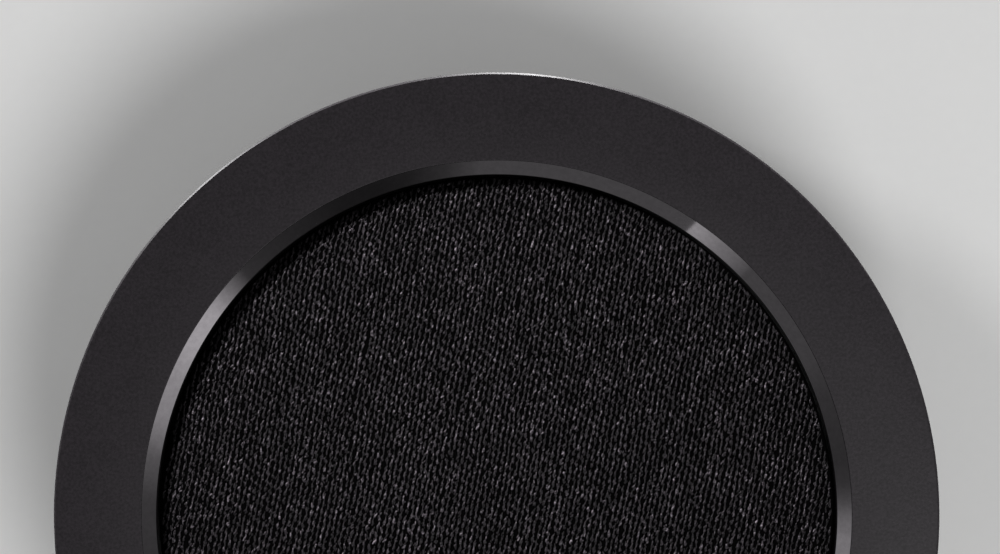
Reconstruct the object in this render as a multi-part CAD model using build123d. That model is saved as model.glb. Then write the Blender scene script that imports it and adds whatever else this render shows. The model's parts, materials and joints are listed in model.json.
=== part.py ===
"""A round table-top smart home hub: a wide metal rim with a polished inner bevel round a recessed
cloth grille, over a moulded base that holds a full-range speaker, a microphone board and a main
board with power and network sockets. Millimetres, +Z up, origin at the centre of the foot's
underside, sockets on the +Y side."""

from build123d import *
import math
import os

# ---------------------------------------------------------------- driving dimensions
# Overall
body_diameter = 120.0
body_height = 40.0

# Rim, bevel and cloth recess
rim_width = 11.95  # flat matte rim, seen from above
rim_edge_chamfer = 0.25
rim_top_thickness = 2.4
rim_wall = 1.8
bevel_width = 1.95  # polished slope, seen from above
bevel_drop = 1.4
bevel_flange = 2.4  # how far the bevel ring reaches under the rim
bevel_ring_height = 4.8
recess_depth = 2.4  # from the bevel's lower edge down to the cloth
shadow_gap = 0.6  # dark line between the metal rim and the moulded base

# Cloth and its carrier
cloth_thickness = 0.5
cloth_hem = 1.5
grille_thickness = 1.6
grille_skirt = 1.45
grille_skirt_drop = 1.9
grille_hole_radius = 1.6
grille_hole_pitch = 4.4
grille_open_radius = 33.5  # how far out the grille is pierced
clamp_ring_height = 1.3

# Microphone and light board
mic_board_thickness = 1.0
mic_room = 1.9  # from the board's top to the carrier's underside
mic_count = 4
mic_size = (3.5, 2.7, 1.0)
mic_port_radius = 0.5
mic_boot_radius = 2.6
mic_screw_angles = (20, 110, 200, 300)
led_count = 4
led_size = 2.0
led_height = 0.7
led_spacing = 7.0
light_pipe_radius = 1.2

# Chassis
chassis_plate = 2.5
chassis_rib = 1.5  # width of the ribs that stand on the plate
mic_shelf_height = 1.9
speaker_step = 1.1  # how far the speaker's seat lies below the plate's top

# Speaker
speaker_radius = 28.5
speaker_flange = 3.3
speaker_flange_thickness = 1.5
speaker_gasket_thickness = 0.8
speaker_travel = 0.8
roll_height = 2.0
roll_width = 4.0
roll_thickness = 0.4
roll_land = 1.0  # glued flat at each side of the roll
spider_height = 2.4
spider_thickness = 0.3
basket_drop = 8.5  # from the flange's top down to the motor's seat
basket_wall = 1.2
motor_radius = 17.0
top_plate_thickness = 2.5
yoke_thickness = 2.5
pole_radius = 9.0
motor_gap = 1.2
coil_former = 0.15
coil_winding = 0.4
coil_gap = 0.3  # air between the pole and the former
magnet_inner_radius = 12.0
cone_thickness = 0.5
dust_cap_rise = 2.6
motor_board_gap = 3.6  # air between the speaker's motor and the main board

# Moulded base
base_wall = 2.2
base_floor = 2.2
base_inset = 0.6  # how far the base stands in from the rim
base_foot_inset = 5.5  # how far the base's underside stands in from the rim
base_curve_height = 10.8  # height over which the side curves in to the underside
foot_stand = 1.2  # how far the foot stands below the base
foot_width = 7.5
foot_seat = 0.7
vent_count = 28
vent_length = 11.0
vent_width = 1.6
vent_inner_radius = 20.0

# Socket bay at the back
bay_depth = 8.0  # from the rim's outline to the bay's floor, at the middle
bay_half_width = 25.0
bay_height = 18.0
bay_corner = 3.0
bay_floor_z = 5.2
bay_wall = 1.8

# Main board
board_standoff = 2.4
board_thickness = 1.6
board_edge_gap = 14.6  # from the base's outer wall in to the board's round edge
board_tab_half_width = 24.6
board_post_radius = 2.6
board_post_angles = (20, 160, 200, 340)
board_post_inset = 5.0

# Sockets and controls, placed by their middle along X
jack_x = -13.0
jack_size = (16.0, 21.0, 11.5)
jack_wall = 2.0
jack_plug = (11.8, 6.6)
jack_latch = (6.4, 1.4)
jack_depth = 13.0
jack_contact_count = 8
jack_contact_pitch = 1.02
power_x = 4.0
power_size = (9.0, 7.5, 3.3)
power_wall = 0.33
power_tongue = (6.7, 5.0, 0.7)
button_x = 14.0
button_radius = 2.0
button_proud = 0.9
button_travel = 0.6
slider_x = 20.2
slider_knob = (3.0, 1.5)
slider_proud = 0.9
slider_travel = 2.0
control_z = 4.0  # height of the button's and slider's middle above the board
control_depth = 3.4
control_shoulder = 1.2

# Fasteners
rim_screw_count = 6
rim_screw_radius = 1.25
rim_boss_radius = 2.7
case_screw_radius = 1.5
case_pillar_radius = 4.2
case_pillar_height = 10.5
case_screw_angles = (45, 135, 225, 315)
case_screw_inset = 10.5
small_screw_radius = 1.1
speaker_screw_count = 4
thread_bite = 5.0

# Clearances
fit_gap = 0.15  # round a piece that drops into another
socket_gap = 0.3  # round a socket or control in its cut-out
screw_gap = 0.2  # round a screw in its hole

# ---------------------------------------------------------------- derived places
body_radius = body_diameter / 2
bevel_outer = body_radius - rim_width
bevel_inner = bevel_outer - bevel_width
cloth_radius = bevel_inner - fit_gap
grille_radius = cloth_radius - cloth_thickness - fit_gap / 3

bevel_low_z = body_height - bevel_drop
cloth_z = bevel_low_z - recess_depth
grille_top_z = cloth_z - cloth_thickness
grille_low_z = grille_top_z - grille_thickness
skirt_low_z = grille_low_z - grille_skirt_drop
clamp_top_z = skirt_low_z - cloth_thickness
ledge_z = clamp_top_z - clamp_ring_height
mic_board_top_z = grille_low_z - mic_room
mic_shelf_z = mic_board_top_z - mic_board_thickness
bevel_seat_z = body_height - bevel_ring_height

plate_top_z = mic_shelf_z - mic_shelf_height
plate_low_z = plate_top_z - chassis_plate
rim_low_z = plate_low_z + shadow_gap
rim_under_z = body_height - rim_top_thickness
chassis_radius = body_radius - rim_wall - fit_gap

seat_z = plate_top_z - speaker_step
flange_low_z = seat_z + speaker_gasket_thickness
flange_top_z = flange_low_z + speaker_flange_thickness
basket_hole = speaker_radius - speaker_flange
motor_top_z = flange_top_z - basket_drop - basket_wall
floor_top_z = foot_stand + base_floor
board_low_z = floor_top_z + board_standoff
board_top_z = board_low_z + board_thickness
motor_low_z = board_top_z + motor_board_gap
yoke_top_z = motor_low_z + yoke_thickness
top_plate_low_z = motor_top_z - top_plate_thickness
gap_outer = pole_radius + motor_gap
former_inner = pole_radius + coil_gap
former_outer = former_inner + coil_former

mic_board_inner = speaker_radius + 2.6
mic_board_outer = grille_radius - grille_skirt - fit_gap
mic_ring_radius = (mic_board_inner + mic_board_outer) / 2

base_radius = body_radius - base_inset
foot_outer = body_radius - base_foot_inset - 1.5
foot_inner = foot_outer - foot_width
foot_top_z = foot_stand + foot_seat
bay_y = body_radius - bay_depth
bay_inner_y = bay_y - bay_wall
board_radius = base_radius - board_edge_gap
board_back_y = bay_inner_y - 1.4
case_screw_ring = body_radius - case_screw_inset
rim_screw_ring = (bevel_outer + bevel_flange + body_radius - rim_wall) / 2
board_post_ring = board_radius - board_post_inset
control_height_z = board_top_z + control_z


# ---------------------------------------------------------------- helpers
def lathe(*points):
    """A solid of revolution about Z from an outline of (radius, height) points."""
    outline = make_face(Polyline(*points, close=True))
    return revolve(Plane.XZ * outline, Axis.Z, 360)


def disc(radius, low, high):
    return Pos(0, 0, low) * Cylinder(radius, high - low, align=(Align.CENTER, Align.CENTER, Align.MIN))


def ring(inner, outer, low, high):
    return disc(outer, low, high) - disc(inner, low - 1, high + 1)


def block(x, y, z):
    """A box from three (low, high) pairs."""
    size = [high - low for low, high in (x, y, z)]
    middle = [(high + low) / 2 for low, high in (x, y, z)]
    return Pos(*middle) * Box(*size)


def centred(x, y, width, depth, low, high):
    return block((x - width / 2, x + width / 2), (y - depth / 2, y + depth / 2), (low, high))


def polar(radius, degrees):
    angle = math.radians(degrees)
    return radius * math.cos(angle), radius * math.sin(angle)


def at(radius, degrees, shape):
    """The shape moved from the axis out to a place on a circle, without turning it."""
    x, y = polar(radius, degrees)
    return Pos(x, y, 0) * shape


def along_y(x, z, radius, low, high):
    """A round bar along Y from y = low to y = high."""
    return Pos(x, low, z) * Rot(-90, 0, 0) * Cylinder(
        radius, high - low, align=(Align.CENTER, Align.CENTER, Align.MIN)
    )


def spread(count, first=0.0):
    return [first + 360 / count * i for i in range(count)]


def together(shapes):
    return Compound(children=[solid for shape in shapes for solid in shape.solids()])


def screw(radius, head_radius, head_height, low, high, head_down):
    """A pan-head screw along Z with a hexagonal drive, from its tip to its head's bearing face."""
    shank = disc(radius, low, high)
    drive = head_height * 0.6
    if head_down:
        head = disc(head_radius, low - head_height, low)
        socket = Pos(0, 0, low - head_height) * extrude(RegularPolygon(radius * 0.8, 6), drive)
    else:
        head = disc(head_radius, high, high + head_height)
        socket = Pos(0, 0, high + head_height) * extrude(RegularPolygon(radius * 0.8, 6), -drive)
    return shank + head - socket


# ---------------------------------------------------------------- rim and cloth
def make_rim_ring():
    c = rim_edge_chamfer
    shell = lathe(
        (bevel_outer, rim_under_z),
        (bevel_outer, body_height),
        (body_radius - c, body_height),
        (body_radius, body_height - c),
        (body_radius, rim_low_z + c),
        (body_radius - c, rim_low_z),
        (body_radius - rim_wall, rim_low_z),
        (body_radius - rim_wall, rim_under_z),
    )
    for angle in spread(rim_screw_count, 30):
        shell += at(rim_screw_ring, angle, disc(rim_boss_radius, plate_top_z, rim_under_z))
    for angle in spread(rim_screw_count, 30):
        hole = disc(rim_screw_radius + screw_gap / 4, plate_top_z, plate_top_z + thread_bite + 0.5)
        shell -= at(rim_screw_ring, angle, hole)
    return shell


def make_bevel_ring():
    return lathe(
        (bevel_outer, body_height),
        (bevel_inner, bevel_low_z),
        (bevel_inner, bevel_seat_z),
        (bevel_outer + bevel_flange, bevel_seat_z),
        (bevel_outer + bevel_flange, rim_under_z),
        (bevel_outer, rim_under_z),
    )


def make_fabric_cover():
    inner = cloth_radius - cloth_thickness
    return lathe(
        (0, grille_top_z),
        (0, cloth_z),
        (cloth_radius - cloth_thickness, cloth_z),
        (cloth_radius, cloth_z - cloth_thickness),
        (cloth_radius, clamp_top_z),
        (inner - cloth_hem + cloth_thickness, clamp_top_z),
        (inner - cloth_hem + cloth_thickness, skirt_low_z),
        (inner, skirt_low_z),
        (inner, grille_top_z),
    )


def grille_holes():
    """Centres of a triangular pattern of holes that leaves a solid border."""
    reach = grille_open_radius
    row_step = grille_hole_pitch * math.sqrt(3) / 2
    rows = int(reach / row_step) + 1
    columns = int(reach / grille_hole_pitch) + 1
    centres = []
    for row in range(-rows, rows + 1):
        shift = grille_hole_pitch / 2 if row % 2 else 0
        for column in range(-columns - 1, columns + 1):
            x, y = column * grille_hole_pitch + shift, row * row_step
            if math.hypot(x, y) <= reach:
                centres.append((x, y))
    return centres


def hole_wire(x, y, radius):
    return Wire(Edge.make_circle(radius, Plane(origin=(x, y, 0))))


def make_grille_frame():
    holes = [hole_wire(x, y, grille_hole_radius) for x, y in grille_holes()]
    holes += [hole_wire(*polar(mic_ring_radius, a), mic_port_radius * 1.6) for a in mic_angles()]
    holes += [hole_wire(*polar(mic_ring_radius, a), light_pipe_radius + fit_gap) for a in led_places()]
    plate = Face(hole_wire(0, 0, grille_radius), holes)
    frame = Pos(0, 0, grille_low_z) * extrude(plate, grille_thickness)
    return frame + ring(grille_radius - grille_skirt, grille_radius, skirt_low_z, grille_low_z)


def make_cloth_clamp_ring():
    return ring(grille_radius - grille_skirt, cloth_radius, ledge_z, clamp_top_z)


# ---------------------------------------------------------------- microphones and lights
def mic_angles():
    return spread(mic_count, 45)


def led_places():
    """Four lights in a short arc on the microphone board, at the front."""
    step = math.degrees(led_spacing / mic_ring_radius)
    return [-90 + step * (i - (led_count - 1) / 2) for i in range(led_count)]


def make_mic_board():
    board = ring(mic_board_inner, mic_board_outer, mic_shelf_z, mic_board_top_z)
    for angle in mic_screw_angles:
        board -= at(mic_ring_radius, angle, disc(small_screw_radius + screw_gap, 0, body_height))
    return board


def make_mic_board_screws():
    pin = screw(small_screw_radius, 1.9, 1.0, plate_low_z + 0.4, mic_board_top_z, False)
    return together([at(mic_ring_radius, angle, pin) for angle in mic_screw_angles])


def make_microphones():
    width, depth, height = mic_size
    can = centred(0, 0, width, depth, mic_board_top_z, mic_board_top_z + height)
    can -= disc(mic_port_radius, mic_board_top_z + height / 2, mic_board_top_z + height + 1)
    return together([at(mic_ring_radius, angle, can) for angle in mic_angles()])


def make_mic_boots():
    low = mic_board_top_z + mic_size[2]
    boot = ring(mic_port_radius * 1.6, mic_boot_radius, low, grille_low_z)
    return together([at(mic_ring_radius, angle, boot) for angle in mic_angles()])


def make_status_leds():
    led = centred(0, 0, led_size, led_size, mic_board_top_z, mic_board_top_z + led_height)
    return together([at(mic_ring_radius, angle, led) for angle in led_places()])


def make_light_pipes():
    pipe = disc(light_pipe_radius, mic_board_top_z + led_height, grille_top_z)
    return together([at(mic_ring_radius, angle, pipe) for angle in led_places()])


# ---------------------------------------------------------------- chassis
def ribbon_x():
    return mic_ring_radius


def make_chassis():
    step_radius = mic_board_inner + chassis_rib
    frame = ring(basket_hole + fit_gap, step_radius, seat_z - chassis_plate, seat_z)
    frame += ring(speaker_radius + fit_gap, step_radius, seat_z - chassis_plate, mic_shelf_z)
    frame += ring(step_radius, chassis_radius, plate_low_z, plate_top_z)
    frame += ring(mic_board_outer - chassis_rib, mic_board_outer, plate_top_z, mic_shelf_z)
    frame += ring(mic_board_outer, bevel_outer, plate_top_z, ledge_z)
    rib_outer = bevel_outer + bevel_flange
    frame += ring(bevel_outer, rib_outer, plate_top_z, bevel_seat_z)
    for angle in mic_screw_angles:
        frame += at(mic_ring_radius, angle, disc(board_post_radius, plate_top_z, mic_shelf_z))
        frame -= at(mic_ring_radius, angle, disc(small_screw_radius + screw_gap / 4, 0, body_height))
    for angle in spread(rim_screw_count, 30):
        frame -= at(rim_screw_ring, angle, disc(rim_screw_radius + screw_gap, 0, body_height))
    for angle in case_screw_angles:
        pillar = disc(case_pillar_radius, case_pillar_top(), plate_low_z)
        pillar -= disc(case_screw_radius + screw_gap / 4, 0, plate_low_z - 1)
        frame += at(case_screw_ring, angle, pillar)
    for angle in spread(speaker_screw_count, 45):
        hole = disc(small_screw_radius + screw_gap / 4, seat_z - chassis_plate - 1, seat_z + 1)
        frame -= at(speaker_screw_ring(), angle, hole)
    slot = centred(ribbon_x(), 0, 6.0, 14.0, plate_low_z - 1, mic_shelf_z + 1)
    return frame - slot


def case_pillar_top():
    return floor_top_z + case_pillar_height


def speaker_screw_ring():
    return speaker_radius - speaker_flange / 2


def make_rim_screws():
    pin = screw(rim_screw_radius, 2.2, 1.5, plate_low_z, plate_top_z + thread_bite, True)
    return together([at(rim_screw_ring, angle, pin) for angle in spread(rim_screw_count, 30)])


# ---------------------------------------------------------------- speaker
def make_speaker_gasket():
    gasket = ring(basket_hole + fit_gap, speaker_radius, seat_z, flange_low_z)
    for angle in spread(speaker_screw_count, 45):
        gasket -= at(speaker_screw_ring(), angle, disc(small_screw_radius + screw_gap, 0, body_height))
    return gasket


def make_speaker_basket():
    motor_seat = motor_top_z + basket_wall
    spider_ledge = motor_radius + 1.4
    wall_top = basket_hole - fit_gap
    basket = lathe(
        (gap_outer + 1.0, motor_top_z),
        (spider_ledge, motor_top_z),
        (wall_top, seat_z - chassis_plate),
        (wall_top, flange_low_z),
        (speaker_radius, flange_low_z),
        (speaker_radius, flange_top_z),
        (wall_top - basket_wall, flange_top_z),
        (wall_top - basket_wall, seat_z - chassis_plate + 0.3),
        (spider_ledge - 0.2, motor_seat + 0.9),
        (spider_ledge - 0.6, motor_seat + 0.9),
        (spider_ledge - 0.6, motor_seat),
        (gap_outer + 1.0, motor_seat),
    )
    window = block((spider_ledge + 0.6, speaker_radius - speaker_flange), (-5.5, 5.5),
                   (motor_seat + 1.3, seat_z - chassis_plate - 0.4))
    for angle in spread(6, 0):
        basket -= Rot(0, 0, angle) * window
    for angle in spread(speaker_screw_count, 45):
        basket -= at(speaker_screw_ring(), angle, disc(small_screw_radius + screw_gap, 0, body_height))
    return basket


def make_speaker_top_plate():
    return ring(gap_outer, motor_radius, top_plate_low_z, motor_top_z)


def make_speaker_magnet():
    return ring(magnet_inner_radius, motor_radius - 0.5, yoke_top_z, top_plate_low_z)


def make_speaker_yoke():
    return disc(motor_radius, motor_low_z, yoke_top_z) + disc(pole_radius, yoke_top_z, motor_top_z)


def spider_seat_z():
    return motor_top_z + basket_wall


def coil_top_z():
    return spider_seat_z() + spider_height + 1.2


def make_voice_coil():
    low = top_plate_low_z - speaker_travel
    coil = ring(former_inner, former_outer, low, coil_top_z())
    winding_top = motor_top_z + speaker_travel
    return coil + ring(former_outer, former_outer + coil_winding, low, winding_top)


def roll_outer():
    return basket_hole - fit_gap - basket_wall


def cone_rim_radius():
    return roll_outer() - roll_width


def cone_top_z():
    return flange_top_z + roll_height - roll_thickness


def cone_height_at(radius):
    """Height of the cone's upper face."""
    low = coil_top_z() - 1.0 + cone_thickness
    share = (radius - former_outer) / (cone_rim_radius() - roll_land - former_outer)
    return low + (cone_top_z() - low) * share


def make_speaker_cone():
    neck = coil_top_z() - 1.0
    rim = cone_rim_radius()
    top = cone_top_z()
    return lathe(
        (former_outer, neck),
        (former_outer, neck + cone_thickness),
        (rim - roll_land, top),
        (rim, top),
        (rim, top - cone_thickness),
        (rim - roll_land + 0.3, top - cone_thickness),
        (former_outer + 0.5, neck),
    )


def make_speaker_dust_cap():
    """A shallow dome glued inside the cone, over the coil."""
    edge = former_outer + 1.4
    base = cone_height_at(edge)
    radius = (edge**2 + dust_cap_rise**2) / (2 * dust_cap_rise)
    centre = base + dust_cap_rise - radius
    dome = Pos(0, 0, centre) * Sphere(radius) - Pos(0, 0, centre) * Sphere(radius - cone_thickness)
    cup = disc(edge + 1, base, base + dust_cap_rise + 1)
    return dome & cup


def make_speaker_surround():
    """A rubber roll that rises from the flange to the cone's rim."""
    outer, inner = roll_outer(), cone_rim_radius()
    low, high, lip = flange_top_z, flange_top_z + roll_height, roll_thickness
    middle = (inner, low + lip)
    crown = EllipticalCenterArc(middle, outer - inner, high - low - lip, start_angle=0, arc_size=90)
    under = EllipticalCenterArc(middle, outer - inner - lip, high - low - 2 * lip, start_angle=0, arc_size=90)
    edge = inner - roll_land
    land = Polyline((inner, high), (edge, high), (edge, high - lip), (inner, high - lip))
    foot = Polyline(
        (outer - lip, low + lip),
        (outer - lip, low),
        (outer + roll_land, low),
        (outer + roll_land, low + lip),
        (outer, low + lip),
    )
    outline = make_face([*foot.edges(), *crown.edges(), *land.edges(), *under.edges()])
    return revolve(Plane.XZ * outline, Axis.Z, 360)


def make_speaker_spider():
    """The corrugated cloth disc that centres the coil, rising from its ledge to the coil."""
    inner = former_outer
    outer = motor_radius + 0.6
    low = spider_seat_z()
    land = 1.4
    waves = 3
    span = outer - land - inner
    lip = spider_thickness
    upper = [(outer, low + lip), (outer - land, low + lip)]
    for i in range(1, 2 * waves):
        rise = (spider_height - lip) * i / (2 * waves) + (0.35 if i % 2 else -0.1)
        upper.append((outer - land - span * i / (2 * waves), low + lip + rise))
    upper.append((inner, low + spider_height))
    lower = [(radius, height - lip) for radius, height in reversed(upper)]
    return lathe(*upper, *lower)


def make_speaker_terminals():
    """A strip under the basket's seat with two solder tabs."""
    edge = motor_radius + 0.3
    strip = block((-edge - 5.0, -edge), (-4.0, 4.0), (motor_top_z - 1.2, motor_top_z))
    tabs = [
        block((-edge - 4.6, -edge - 1.4), (y - 0.9, y + 0.9), (motor_top_z - 1.8, motor_top_z - 1.2))
        for y in (-2.2, 2.2)
    ]
    return strip + tabs[0] + tabs[1]


def make_speaker_screws():
    low = seat_z - chassis_plate + 0.4
    pin = screw(small_screw_radius, 1.6, 1.0, low, flange_top_z, False)
    return together([at(speaker_screw_ring(), angle, pin) for angle in spread(speaker_screw_count, 45)])


# ---------------------------------------------------------------- moulded base
def base_body(inset, low, top_z):
    """The base's outer shape with its side moved in by inset, from low up to top_z."""
    side, under = base_radius - inset, body_radius - base_foot_inset - inset
    turn = foot_stand + base_curve_height
    curve = TangentArc((side, turn), (under, low), tangent=(0, -1))
    rest = Polyline((under, low), (0, low), (0, top_z), (side, top_z), (side, turn))
    outline = make_face([*curve.edges(), *rest.edges()])
    return revolve(Plane.XZ * outline, Axis.Z, 360)


def bay_cut():
    height_middle = bay_floor_z + bay_height / 2
    face = RectangleRounded(2 * bay_half_width, bay_height, bay_corner)
    plane = Plane(origin=(0, bay_y, height_middle), x_dir=(-1, 0, 0), z_dir=(0, 1, 0))
    return extrude(plane * face, bay_depth + 2)


def vent_slots():
    slot = SlotOverall(vent_length, vent_width)
    cut = Pos(vent_inner_radius + vent_length / 2, 0, foot_stand - 1) * extrude(slot, base_floor + 2)
    return [Rot(0, 0, angle) * cut for angle in spread(vent_count, 180 / vent_count)]


def make_lower_housing():
    shell = base_body(0, foot_stand, plate_low_z)
    hollow = base_body(base_wall, floor_top_z, plate_low_z + 1)
    side = bay_half_width + bay_wall
    hollow -= block((-side, side), (bay_inner_y, body_radius), (0, bay_floor_z + bay_height + bay_wall))
    shell -= hollow
    shell -= bay_cut()
    for angle in case_screw_angles:
        shell += at(case_screw_ring, angle, disc(case_pillar_radius, floor_top_z, case_pillar_top()))
    posts = [polar(board_post_ring, angle) for angle in board_post_angles]
    for x, y in posts:
        post = disc(board_post_radius, floor_top_z, board_low_z)
        post -= disc(small_screw_radius + screw_gap / 4, floor_top_z - 1, board_low_z + 1)
        shell += Pos(x, y, 0) * post
    shell -= ring(foot_inner - fit_gap, foot_outer + fit_gap, 0, foot_top_z)
    for angle in case_screw_angles:
        shell -= at(case_screw_ring, angle, disc(case_screw_radius + screw_gap, 0, body_height))
        shell -= at(case_screw_ring, angle, disc(case_head_radius(), 0, case_head_z()))
    for slot in vent_slots():
        shell -= slot
    return shell - socket_cuts()


def case_head_radius():
    return case_screw_radius * 2 - 0.1


def case_head_z():
    return foot_top_z + 2.4


def make_case_screws():
    low, high = case_head_z(), case_pillar_top() + thread_bite
    pin = screw(case_screw_radius, case_head_radius() - screw_gap, 1.9, low, high, True)
    return together([at(case_screw_ring, angle, pin) for angle in case_screw_angles])


def make_foot_pad():
    return ring(foot_inner, foot_outer, 0, foot_top_z)


def around(middle, size, gap=0.0):
    """The (low, high) of a width about its middle, with a gap at each side."""
    return middle - size / 2 - gap, middle + size / 2 + gap


def socket_cuts():
    """The cut-outs in the bay's wall for the sockets, the button and the slider."""
    wall = (bay_inner_y - 1, bay_y + 1)
    width, _, height = jack_size
    jack_height = around(board_top_z + height / 2, height, socket_gap)
    cuts = block(around(jack_x, width, socket_gap), wall, jack_height)
    width, _, height = power_size
    shape = SlotOverall(width + 2 * socket_gap, height + 2 * socket_gap)
    cuts += extrude(power_plane(wall[0]) * shape, wall[1] - wall[0])
    cuts += along_y(button_x, control_height_z, button_radius + socket_gap / 2, *wall)
    width, height = slider_knob
    track = around(slider_x + slider_travel / 2, width + slider_travel, socket_gap)
    return cuts + block(track, wall, around(control_height_z, height, socket_gap))


# ---------------------------------------------------------------- main board
def make_main_board():
    board = disc(board_radius, board_low_z, board_top_z)
    board += block(around(0, 2 * board_tab_half_width), (0, board_back_y), (board_low_z, board_top_z))
    for angle in board_post_angles:
        board -= at(board_post_ring, angle, disc(small_screw_radius + screw_gap, 0, body_height))
    return board


def make_board_screws():
    pin = screw(small_screw_radius, 2.1, 1.2, floor_top_z + 0.2, board_top_z, False)
    return together([at(board_post_ring, angle, pin) for angle in board_post_angles])


def can(x, y, width, depth, height):
    """A pressed shielding can, open underneath."""
    wall = 0.3
    low, high = board_top_z, board_top_z + height
    outer = centred(x, y, width, depth, low, high)
    return outer - centred(x, y, width - 2 * wall, depth - 2 * wall, low - 1, high - wall)


processor_y = -28.0
processor_size = (24.0, 20.0, 2.2)
sink_base = 1.2
sink_fin_height = 4.0
pad_thickness = 0.5


def make_processor_shield():
    width, depth, height = processor_size
    return can(0, processor_y, width, depth, height)


def make_processor_chip():
    return centred(0, processor_y, 14.0, 14.0, board_top_z, board_top_z + 1.4)


def make_thermal_pad():
    low = board_top_z + processor_size[2]
    return centred(0, processor_y, 18.0, 15.0, low, low + pad_thickness)


def make_heat_sink():
    width, depth, height = processor_size
    low = board_top_z + height + pad_thickness
    sink = centred(0, processor_y, width, depth - 2, low, low + sink_base)
    fins = 9
    step = (width - 1.0) / (fins - 1)
    for i in range(fins):
        x = -width / 2 + 0.5 + step * i
        sink += centred(x, processor_y, 1.0, depth - 2, low + sink_base, low + sink_base + sink_fin_height)
    return sink


def make_radio_shield():
    return can(25.5, -14.0, 15.0, 12.0, 2.0)


def make_board_chips():
    """The memory, power and radio chips that lie outside the shields."""
    places = (
        (-26.0, -22.0, 8.0, 10.0, 1.1),
        (-20.0, 18.0, 9.0, 9.0, 1.0),
        (3.0, 20.0, 6.0, 6.0, 0.9),
        (3.0, 29.5, 5.0, 4.4, 0.9),
        (-34.0, -9.0, 4.0, 4.0, 0.8),
        (20.0, -30.0, 4.0, 5.0, 1.0),
    )
    return together([
        centred(x, y, width, depth, board_top_z, board_top_z + height)
        for x, y, width, depth, height in places
    ])


def make_power_capacitors():
    can_shape = disc(3.1, board_top_z + 0.8, board_top_z + 7.2) + centred(
        0, 0, 6.6, 6.6, board_top_z, board_top_z + 0.8
    )
    return together([Pos(x, y, 0) * can_shape for x, y in ((13.0, 34.0), (20.6, 34.0), (17.0, 26.0))])


def make_power_inductors():
    width, height = 6.0, 3.0
    behind_sockets = min(power_front_y() - power_size[1], switch_back_y()) - width / 2 - 0.4
    places = ((10.5, behind_sockets), (-27.5, 27.0))
    return together([
        centred(x, y, width, width, board_top_z, board_top_z + height) for x, y in places
    ])


def make_wifi_antennas():
    """A stamped strip on two legs at each side of the board."""
    metal, length, height = 0.4, 18.0, 6.0
    antennas = []
    for side, y in ((-1, 1.0), (1, 12.0)):
        x = side * (board_radius - 3.4)
        plate = centred(x, y - 8.0, metal, length, board_top_z + 1.6, board_top_z + height)
        for leg in (-7.5, -2.5):
            plate += centred(x, y - 8.0 + leg, metal, 1.4, board_top_z, board_top_z + 1.6)
        antennas.append(plate)
    return together(antennas)


def make_mesh_antenna():
    """A ceramic block antenna for the home network's radio, at the front edge."""
    return centred(0, -board_radius + 3.5, 9.0, 3.0, board_top_z, board_top_z + 1.2)


# ---------------------------------------------------------------- sockets
def jack_front_y():
    return bay_y - 0.3


def make_ethernet_jack():
    width, depth, height = jack_size
    front = jack_front_y()
    body = block(around(jack_x, width), (front - depth, front), (board_top_z, board_top_z + height))
    opening = jack_opening()
    body -= block(around(jack_x, jack_plug[0]), (front - jack_depth, front + 1), opening)
    latch_width, latch_height = jack_latch
    latch_z = (opening[0] - latch_height, opening[0] + 0.1)
    body -= block(around(jack_x, latch_width), (front - jack_depth + 3, front + 1), latch_z)
    for side in (-1, 1):
        body -= jack_light(side)
    return body


def jack_opening():
    """The low and high of the plug's opening."""
    low = board_top_z + jack_wall + jack_latch[1] - 0.5
    return low, low + jack_plug[1]


def jack_light(side):
    width, _, height = jack_size
    x = jack_x + side * (width / 2 - 1.5)
    z = board_top_z + 1.6
    return block((x - 1.0, x + 1.0), (jack_front_y() - 3.0, jack_front_y()), (z - 0.8, z + 0.8))


def make_ethernet_lights():
    return together([jack_light(side) for side in (-1, 1)])


def make_ethernet_contacts():
    """Sprung gold fingers that slope down from the roof of the socket."""
    roof = jack_opening()[1]
    back = jack_front_y() - jack_depth
    finger_width, metal = 0.45, 0.3
    profile = Polyline(
        (back, roof), (back + 9.0, roof), (back + 9.0, roof - metal),
        (back + 3.6, roof - 1.5), (back + 3.6, roof - 1.5 + metal), (back + 7.0, roof - metal),
        (back, roof - metal), close=True,
    )
    plane = Plane(origin=(0, 0, 0), x_dir=(0, 1, 0), z_dir=(1, 0, 0))
    finger = extrude(plane * make_face(profile), finger_width)
    first = jack_x - jack_contact_pitch * (jack_contact_count - 1) / 2 - finger_width / 2
    return together([Pos(first + jack_contact_pitch * i, 0, 0) * finger for i in range(jack_contact_count)])


def power_front_y():
    return bay_y - 0.2


def power_profile(margin):
    width, _, height = power_size
    return SlotOverall(width - 2 * margin, height - 2 * margin)


def power_plane(y):
    middle = board_top_z + power_size[2] / 2
    return Plane(origin=(power_x, y, middle), x_dir=(1, 0, 0), z_dir=(0, 1, 0))


def make_power_jack():
    depth = power_size[1]
    back = power_front_y() - depth
    shell = extrude(power_plane(back) * power_profile(0), depth)
    shell -= extrude(power_plane(back + 1.2) * power_profile(power_wall), depth)
    return shell


def make_power_jack_tongue():
    width, depth, height = power_tongue
    back = power_front_y() - power_size[1] + 1.2
    middle = board_top_z + power_size[2] / 2
    return block((power_x - width / 2, power_x + width / 2), (back, back + depth),
                 (middle - height / 2, middle + height / 2))


# ---------------------------------------------------------------- button and slider
def make_pair_button():
    z = control_height_z
    cap = along_y(button_x, z, button_radius, button_stem_y(), bay_y + button_proud)
    cap = chamfer(cap.faces().sort_by(Axis.Y)[-1].edges(), 0.25)
    collar = along_y(button_x, z, button_radius + 1.0, button_stem_y(), bay_inner_y - socket_gap / 2)
    return cap + collar


def button_stem_y():
    """The inner end of the button and the slider, behind the bay's wall."""
    return bay_inner_y - control_shoulder


def plunger_back_y():
    return button_stem_y() - 1.6


def make_pair_switch_plunger():
    return along_y(button_x, control_height_z, 1.2, plunger_back_y(), button_stem_y())


def switch_front_y():
    return button_stem_y() - 0.9


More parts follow.
